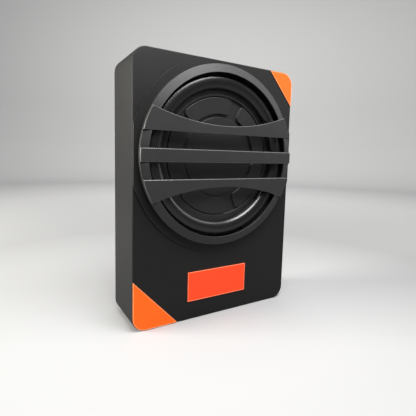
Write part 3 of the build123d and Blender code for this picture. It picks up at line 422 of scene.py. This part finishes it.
def mark_front_edges(piece):
    """Marks the crisp edges round a piece's flat front faces for rounding."""
    beside = {}
    for face in piece.data.polygons:
        for key in face.edge_keys:
            beside.setdefault(key, []).append(face.normal)
    mark = piece.data.attributes.new("bevel_weight_edge", "FLOAT", "EDGE")
    for edge in piece.data.edges:
        normals = beside.get(edge.key, [])
        if len(normals) == 2 and min(n.y for n in normals) < faces_front:
            mark.data[edge.index].value = float(normals[0].angle(normals[1], 0) > sharp_angle)


mark_front_edges(grille)
round_edges(grille, 0.0006, edge_slot=1, marked_only=True)
round_edges(grille, 0.0004, edge_slot=1)
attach(grille, "enclosure")
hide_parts("grille")

# Surround: a half roll of smooth rubber with a flat land each side, glued to the basket's flange
# outside and over the diaphragm's rim inside. It is spun as a ring, halved, and drawn out into its
# lands.
surround_low, surround_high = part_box("surround")
land_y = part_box("driver_basket")[0].y
cone_front_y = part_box("cone")[0].y
driver_z = (surround_low.z + surround_high.z) / 2
roll_centre = (0, land_y, driver_z)
roll_outer = 0.1075
roll_inner = 0.089
roll_half = (roll_outer - roll_inner) / 2
roll_crest = land_y - surround_low.y + 0.0004
throat_r = 0.1048
glue_outer = (surround_high.x - surround_low.x) / 2
rubber_t = 0.0008
ring_slack = 0.00002
bpy.ops.object.select_all(action="DESELECT")
bpy.ops.mesh.primitive_torus_add(major_segments=160, minor_segments=36, location=roll_centre,
                                 rotation=(math.pi / 2, 0, 0), minor_radius=roll_half,
                                 major_radius=(roll_outer + roll_inner) / 2)
roll = bpy.context.object
roll.name = "rubber_roll"
apply_all(roll)
bpy.ops.object.mode_set(mode="EDIT")
bpy.ops.mesh.select_all(action="SELECT")
bpy.ops.transform.resize(value=(1, roll_crest / roll_half, 1), center_override=roll_centre)
bpy.ops.mesh.bisect(plane_co=roll_centre, plane_no=(0, 1, 0), clear_outer=True)
bpy.ops.object.mode_set(mode="OBJECT")


def off_axis(vertex):
    """Distance of a vertex from the driver's axis."""
    return math.hypot(vertex.co.x, vertex.co.z - driver_z)


def pick_ring(piece, radius, y, reach):
    """Opens a piece for editing with one ring of points about the driver's axis selected."""
    work_on(piece)
    bpy.context.tool_settings.mesh_select_mode = (True, False, False)
    clear_picks(piece)
    for vertex in piece.data.vertices:
        level = abs(vertex.co.y - y) < ring_slack
        vertex.select = level and radius - reach < off_axis(vertex) < radius + reach
    bpy.ops.object.mode_set(mode="EDIT")
    bpy.ops.mesh.select_mode(type="EDGE")


def thicken_sheet(piece, thickness, offset):
    """Faces all of a sheet the same way and gives it thickness."""
    work_on(piece)
    bpy.ops.object.mode_set(mode="EDIT")
    bpy.ops.mesh.select_all(action="SELECT")
    bpy.ops.mesh.normals_make_consistent(inside=False)
    bpy.ops.object.mode_set(mode="OBJECT")
    thicken = piece.modifiers.new("thicken", "SOLIDIFY")
    thicken.thickness = thickness
    thicken.offset = offset
    bpy.ops.object.modifier_apply(modifier="thicken")


# Behind the front of the case the roll's outer foot is drawn in, to pass through the opening.
foot_front_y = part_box("enclosure_shell")[0].y - 0.0012
foot_rings = sorted({(round(off_axis(v), 5), round(v.co.y, 5)) for v in roll.data.vertices
                     if off_axis(v) > throat_r and v.co.y > foot_front_y})
for ring_r, ring_y in foot_rings:
    pick_ring(roll, ring_r, ring_y, 0.00004)
    draw_in = throat_r / ring_r
    bpy.ops.transform.resize(value=(draw_in, 1, draw_in), center_override=roll_centre)
    bpy.ops.object.mode_set(mode="OBJECT")

# Each land is drawn out from the roll's rim in steps: how far along the axis, and how much wider.
inner_land = ((cone_front_y + 0.0001 - land_y, 0.996), (0, 0.945))
outer_land = ((0, (glue_outer - rubber_t) / throat_r),)
for rim_r, steps in ((roll_inner, inner_land), (throat_r, outer_land)):
    pick_ring(roll, rim_r, land_y, 0.001)
    for push, spread in steps:
        bpy.ops.mesh.extrude_edges_move(TRANSFORM_OT_translate={"value": (0, push, 0)})
        bpy.ops.transform.resize(value=(spread, 1, spread), center_override=roll_centre)
    bpy.ops.object.mode_set(mode="OBJECT")
thicken_sheet(roll, rubber_t, 1)
bpy.ops.object.shade_smooth_by_angle(angle=math.radians(40))
roll_rubber = coated("roll_rubber", (0.007, 0.007, 0.007), 0.27, grain=3000, depth=0.000002,
                     vary=0.08, shine=0.75)
dress(roll, roll_rubber)
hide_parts("surround")


def follow_cone(piece):
    """Bakes a piece's place into its mesh."""
    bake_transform(piece)


follow_cone(roll)

# Diaphragm and cap: moulded in satin black with five raised pads, and a flat disc glued over the
# coil's former inside a narrow groove.
satin_cone = coated("satin_cone", (0.017, 0.017, 0.017), 0.38, grain=1400, depth=0.00001)
softened("cone", "diaphragm", 0.0004, satin_cone, body="moving_system", segments=3)
softened("centre_cap", "cap_disc", 0.0004, satin_cone, body="moving_system", segments=3)


# Label plate and corner badges: thin plates printed orange with a lighter line round the edge,
# stuck to the case with adhesive film. The bare plates carry no words.
plate_border = 0.0008
plate_sink = 0.00012


def ink_with_painted_glow(name, colour, glow, roughness=0.42):
    """Bright ink under a thin satin varnish, with a painted glow that brightens it."""
    material = coated(name, colour, roughness, grain=700, depth=0.000006, vary=0.04)
    shader = material.node_tree.nodes["Principled BSDF"]
    shader.inputs["Emission Color"].default_value = (*colour, 1)
    shader.inputs["Emission Strength"].default_value = glow
    shader.inputs["Coat Weight"].default_value = 0.15
    shader.inputs["Coat Roughness"].default_value = 0.25
    return material


def finish_plate(piece, ink, edge_ink, node):
    """Sinks the plate's face inside a narrow lighter border, then rounds its edges."""
    front = min(vertex.co.y for vertex in piece.data.vertices)
    pick_faces(piece, lambda centre, normal: normal.y < -0.99 and abs(centre.y - front) < 0.00005)
    bpy.ops.mesh.inset(thickness=plate_border)
    bpy.ops.mesh.extrude_region_move(TRANSFORM_OT_translate={"value": (0, plate_sink, 0)})
    bpy.ops.object.mode_set(mode="OBJECT")
    piece.data.materials.append(ink)
    piece.data.materials.append(edge_ink)
    for face in piece.data.polygons:
        face.material_index = 0 if face.select else 1
    round_edges(piece, 0.0001)
    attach(piece, "enclosure")
    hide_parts(node)


# The label and badge inks glow a little: painted light, brighter than the lamps make them.
orange_red = ink_with_painted_glow("orange_red_print", (1.0, 0.055, 0.008), 0.26)
orange_red_edge = ink_with_painted_glow("orange_red_edge", (1.0, 0.2, 0.09), 0.3)
orange = ink_with_painted_glow("orange_print", (1.0, 0.105, 0.0), 0.4)
orange_edge = ink_with_painted_glow("orange_edge", (1.0, 0.28, 0.09), 0.3)
label_low, label_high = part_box("label_plate")
bpy.ops.object.select_all(action="DESELECT")
bpy.ops.mesh.primitive_cube_add(size=1, location=(label_low + label_high) / 2,
                                scale=label_high - label_low)
label = bpy.context.object
label.name = "label"
apply_all(label)
finish_plate(label, orange_red, orange_red_edge, "label_plate")
for badge, name in (("lower_badge", "badge_low"), ("upper_badge", "badge_high")):
    finish_plate(merged_copy(badge, name), orange, orange_edge, badge)

# Control panel: a black plastic plate sunk in the case's end, with its outlines, dial arcs, ticks
# and plain numbers printed on it in white. The print is a film a few hundredths of a millimetre
# thick.
panel_black = coated("panel_black", (0.016, 0.016, 0.0165), 0.4, grain=1600, depth=0.00002)
softened("control_panel", "panel_plate", 0.0002, panel_black)
panel_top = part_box("control_panel")[1].z
film = 0.00006
line_w = 0.0006
printed = []


def spot_of(node):
    """Middle of a node, brought up to the panel's face."""
    low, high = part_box(node)
    return Vector(((low.x + high.x) / 2, (low.y + high.y) / 2, panel_top))


def print_line(start, end, width=line_w):
    """Straight printed line between two places on the panel."""
    start, end = Vector((*start, panel_top)), Vector((*end, panel_top))
    bpy.ops.object.select_all(action="DESELECT")
    bpy.ops.mesh.primitive_plane_add(size=1, location=(start + end) / 2)
    line = bpy.context.object
    line.scale = ((end - start).length + width, width, 1)
    line.rotation_euler.z = math.atan2(end.y - start.y, end.x - start.x)
    apply_all(line)
    printed.append(line)


def print_frame(low_x, high_x, low_y, high_y, radius=0.0015):
    """Printed outline with rounded corners."""
    bpy.ops.object.select_all(action="DESELECT")
    middle = ((low_x + high_x) / 2, (low_y + high_y) / 2, panel_top)
    bpy.ops.mesh.primitive_plane_add(size=1, location=middle)
    outline = bpy.context.object
    outline.scale = (high_x - low_x, high_y - low_y, 1)
    apply_all(outline)
    bpy.ops.object.mode_set(mode="EDIT")
    bpy.ops.mesh.select_all(action="SELECT")
    bpy.ops.mesh.bevel(offset=radius, segments=6, affect="VERTICES")
    bpy.ops.mesh.select_all(action="SELECT")
    bpy.context.tool_settings.mesh_select_mode = (False, False, True)
    bpy.ops.mesh.inset(thickness=line_w)
    bpy.ops.mesh.delete(type="FACE")
    bpy.ops.object.mode_set(mode="OBJECT")
    printed.append(outline)


def print_arc(centre, radius, open_degrees=90):
    """Printed dial arc, open at the bottom."""
    bpy.ops.object.select_all(action="DESELECT")
    bpy.ops.mesh.primitive_circle_add(vertices=72, radius=radius, location=centre)
    arc = bpy.context.object
    apply_all(arc)
    bpy.ops.object.mode_set(mode="EDIT")
    bpy.ops.mesh.select_mode(type="EDGE")
    bpy.ops.mesh.select_all(action="SELECT")
    bpy.ops.mesh.extrude_edges_move(TRANSFORM_OT_translate={"value": (0, 0, 0)})
    spread = (radius + line_w) / radius
    bpy.ops.transform.resize(value=(spread, spread, 1), center_override=centre)
    bpy.ops.object.mode_set(mode="OBJECT")
    half_open = math.radians(open_degrees / 2)
    pick_faces(arc, lambda middle, normal: abs(math.atan2(middle.x - centre.x, centre.y - middle.y))
               < half_open)
    bpy.ops.mesh.delete(type="FACE")
    bpy.ops.object.mode_set(mode="OBJECT")
    printed.append(arc)


def print_number(text, place, height=0.0021):
    """Plain number, centred on a place."""
    words = bpy.data.curves.new("number", "FONT")
    words.body = text
    words.size = height * 1.4
    words.align_x = "CENTER"
    words.align_y = "CENTER"
    figure = bpy.data.objects.new("number", words)
    bpy.context.scene.collection.objects.link(figure)
    figure.location = place
    work_on(figure)
    bpy.ops.object.convert(target="MESH")
    figure = bpy.context.object
    apply_all(figure)
    printed.append(figure)


# Buttons: an outline, and a dash below the cap. Lamps: a bent line leads off to the left.
outline_half, dash_half, dash_drop = 0.006, 0.0025, 0.0065
for button, below, above in (("phase_button", 0.0100, 0.0046),
                             ("power_mode_button", 0.0097, 0.0053)):
    spot = spot_of(button)
    print_frame(spot.x - outline_half, spot.x + outline_half, spot.y - below, spot.y + above)
    print_line((spot.x - dash_half, spot.y - dash_drop), (spot.x + dash_half, spot.y - dash_drop))
bend_x, stop_x, bend_drop = 0.0062, 0.0026, 0.0035
for lamp in ("green_led", "red_led"):
    spot = spot_of(lamp)
    print_line((spot.x - bend_x, spot.y), (spot.x - stop_x, spot.y))
    print_line((spot.x - bend_x, spot.y), (spot.x - bend_x, spot.y - bend_drop))

# Knobs: a dial arc with a tick and a number at each end, and a rule above and below the row.
knobs = ("level_knob", "crossover_knob", "bass_boost_knob")
dial_r, tick_in, tick_out = 0.0061, 0.0044, 0.0052
number_side, number_drop = 0.0058, 0.0074
for knob in knobs:
    spot = spot_of(knob)
    print_arc(spot, dial_r)
    for side, number in ((-1, "0"), (1, "10")):
        print_line((spot.x + side * tick_in, spot.y - tick_in),
                   (spot.x + side * tick_out, spot.y - tick_out))
        print_number(number, (spot.x + side * number_side, spot.y - number_drop, panel_top))
first_knob, last_knob = spot_of(knobs[0]), spot_of(knobs[-1])
rule_end = 0.0065
for height in (0.0118, -0.0102):
    print_line((first_knob.x - rule_end, first_knob.y + height),
               (last_knob.x + rule_end, last_knob.y + height))

# Sockets: one outline round the connector and the barrels, and four short ticks by the connector.
plug_spot = spot_of("high_level_connector")
barrel_low, barrel_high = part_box("rca_barrels")
print_frame(plug_spot.x - 0.0097, barrel_high.x + 0.0061,
            barrel_low.y - 0.0045, barrel_high.y + 0.0063)
tick_side, tick_half, tick_w = 0.0055, 0.0014, 0.0008
for side in (-1, 1):
    tick_x = plug_spot.x + side * tick_side
    for height in (0.0085, -0.0098):
        print_line((tick_x - tick_half, plug_spot.y + height),
                   (tick_x + tick_half, plug_spot.y + height), tick_w)

# Terminals: a bracket at the left, and a minus and a plus beside the end screws.
terminal_low, terminal_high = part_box("terminal_block")
bracket_gap = 0.0043
bracket_x = terminal_low.x - bracket_gap
bracket_low, bracket_high = terminal_low.y - 0.001, terminal_high.y + bracket_gap
print_line((bracket_x, bracket_low), (bracket_x, bracket_high))
print_line((bracket_x, bracket_high), (bracket_x + 0.008, bracket_high))
print_line((bracket_x, bracket_low), (bracket_x + 0.004, bracket_low))
sign_x, sign_half = terminal_high.x + 0.0062, 0.0012
for number, sign in ((1, "-"), (3, "+")):
    screw_y = spot_of(f"terminal_screw_{number}").y
    print_line((sign_x - sign_half, screw_y), (sign_x + sign_half, screw_y))
    if sign == "+":
        print_line((sign_x, screw_y - sign_half), (sign_x, screw_y + sign_half))

panel_print = join_pieces(printed, "panel_print")
thicken_sheet(panel_print, film, 0)
print_white = coated("print_white", (0.75, 0.75, 0.74), 0.55, grain=2500, depth=0.000004,
                     vary=0.05)
dress(panel_print, print_white)
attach(panel_print, "enclosure")

# Knobs and buttons: moulded in satin black plastic with lightly rounded edges. Each knob has a
# screwdriver slot and turns in its control behind the panel; each button slides in its switch.
knob_black = coated("knob_black", (0.02, 0.02, 0.02), 0.32, grain=2000, depth=0.00001)
for knob in knobs:
    softened(knob, knob + "_cap", 0.0003, knob_black, body=knob, segments=3)
for button in ("phase_button", "power_mode_button"):
    softened(button, button + "_cap", 0.0002, knob_black, body=button)


# Lamps: two small light-emitting diodes, one green and one red, cast in tinted clear resin. They
# stand through holes in the panel and glow a little.
def glowing(name, colour, strength):
    """Tinted resin lit from inside."""
    material = coated(name, colour, 0.15, grain=500, depth=0.000001, vary=0.05)
    shader = material.node_tree.nodes["Principled BSDF"]
    shader.inputs["Emission Color"].default_value = (*colour, 1)
    shader.inputs["Emission Strength"].default_value = strength
    return material


green_resin = glowing("green_resin", (0.05, 0.75, 0.12), 1.4)
softened("green_led", "green_lamp", 0.00005, green_resin)
red_resin = glowing("red_resin", (0.85, 0.05, 0.03), 1.1)
softened("red_led", "red_lamp", 0.00005, red_resin)

# Sockets: black moulded jack, off-white six-way connector with plated pins, two phono barrels in
# nickel with coloured inserts.
socket_black = coated("socket_black", (0.014, 0.014, 0.014), 0.38, grain=1500, depth=0.00001)
nylon = coated("nylon_white", (0.62, 0.61, 0.57), 0.45, grain=900, depth=0.00001, vary=0.05)
brass = coated("plated_brass", (0.72, 0.55, 0.26), 0.25, grain=700, depth=0.000003, metal=1.0)
nickel = coated("bright_nickel", (0.5, 0.495, 0.48), 0.3, grain=700, depth=0.000003, metal=1.0,
                vary=0.06)
softened("remote_jack", "remote_socket", 0.0003, socket_black)
softened("high_level_connector", "six_way_connector", 0.0003, nylon)
softened("rca_barrels", "phono_barrels", 0.00015, nickel)
insert_red = coated("insert_red", (0.55, 0.03, 0.025), 0.35, vary=0.05)
softened("rca_red_insert", "phono_insert_red", 0.0002, insert_red)
softened("rca_black_insert", "phono_insert_black", 0.0002, socket_black)
for node in ("connector_pins", "rca_contacts", "terminal_clamps"):
    dress(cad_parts[node], brass)

# Fuse: clear blue plastic moulded over two zinc blades, with a test hole at each end of its top. It
# pushes into a black holder that stands on the control board.
fuse_blue = coated("fuse_blue", (0.02, 0.16, 0.75), 0.22, grain=600, depth=0.000003, vary=0.06)
fuse_blue.node_tree.nodes["Principled BSDF"].inputs["Transmission Weight"].default_value = 0.25
softened("fuse_body", "fuse_shell", 0.0004, fuse_blue, body="fuse", segments=3)
softened("fuse_holder", "fuse_socket", 0.0003, socket_black)

# Terminal block: black moulding for the supply leads. A nickel-plated slotted screw stands in each
# of its three wells, over the clamp for the lead.
softened("terminal_block", "power_terminal_block", 0.0004, socket_black)
for number in (1, 2, 3):
    screw = f"terminal_screw_{number}"
    softened(screw, screw + "_plated", 0.0002, nickel, body=screw, segments=3)

# Spider and tinsel leads: a corrugated disc of resin-dipped cloth holds the coil central, and two
# braided leads carry the current to it. In the driver both stay with the basket outside and move
# with the coil inside; here their shapes are only baked in place.
braid = coated("copper_braid", (0.7, 0.3, 0.12), 0.35, grain=3500, depth=0.0001, metal=0.9)
dipped_cloth = coated("dipped_cloth", (0.6, 0.4, 0.13), 0.75, grain=2600, depth=0.00015)
for node, name, material, slot in (("spider", "dipped_spider", dipped_cloth, "spider"),
                                   ("tinsel_leads", "braided_leads", braid, "copper")):
    piece = merged_copy(node, name)
    work_on(piece)
    bpy.ops.object.shade_smooth_by_angle(angle=math.radians(40))
    dress(piece, material)
    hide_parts(node)
    follow_cone(piece)

# Inside: basket, motor, coil and electronics keep their own shapes, each in the finish of its own
# material: painted, plated or bare metal, ferrite, copper wire, film, laminate and foam.
inner_finishes = (
    (("driver_basket",), "steel_black",
     coated("basket_paint", (0.02, 0.02, 0.02), 0.35, metal=0.3)),
    (("top_plate", "back_plate_pole", "fuse_blades"), "zinc",
     coated("zinc_plate", (0.55, 0.55, 0.53), 0.35, grain=900, depth=0.00001, metal=1.0)),
    (("magnet",), "ferrite",
     coated("ground_ferrite", (0.05, 0.05, 0.052), 0.5, grain=1200, depth=0.00004)),
    (("voice_coil_former",), "former", coated("amber_film", (0.5, 0.28, 0.08), 0.3, grain=600)),
    (("voice_coil_winding", "toroid"), "copper",
     coated("enamelled_copper", (0.62, 0.22, 0.07), 0.28, grain=1800, depth=0.0001, metal=0.9,
            stretch=(0.02, 1, 0.02))),
    (("speaker_terminals",), "paxolin", coated("laminate", (0.22, 0.1, 0.04), 0.45, grain=500)),
    (("speaker_leads", "wiring_looms"), "wire", coated("wire_jacket", (0.03, 0.03, 0.03), 0.4)),
    (("control_board", "amplifier_board"), "board",
     coated("solder_mask", (0.015, 0.12, 0.04), 0.3)),
    (("board_standoffs",), "brass", brass),
    (("pot_bodies", "switch_bodies"), "switch_grey", coated("switch_grey", (0.1, 0.1, 0.11), 0.45)),
    (("rca_block", "transistors"), "jack", socket_black),
    (("heat_sink",), "sink",
     coated("extruded_alloy", (0.5, 0.5, 0.5), 0.35, grain=900, metal=1.0, depth=0.00002,
            stretch=(0.03, 1, 1))),
    (("capacitors",), "capacitor", coated("sleeve_film", (0.02, 0.022, 0.05), 0.25, grain=300)),
    (("loom_headers",), "connector", nylon),
    (("back_cover_gasket", "panel_gasket", "driver_gasket"), "gasket",
     coated("cell_foam", (0.02, 0.02, 0.02), 0.85, grain=1500, depth=0.0001)),
)
for nodes, slot, material in inner_finishes:
    for node in nodes:
        dress(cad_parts[node], material)
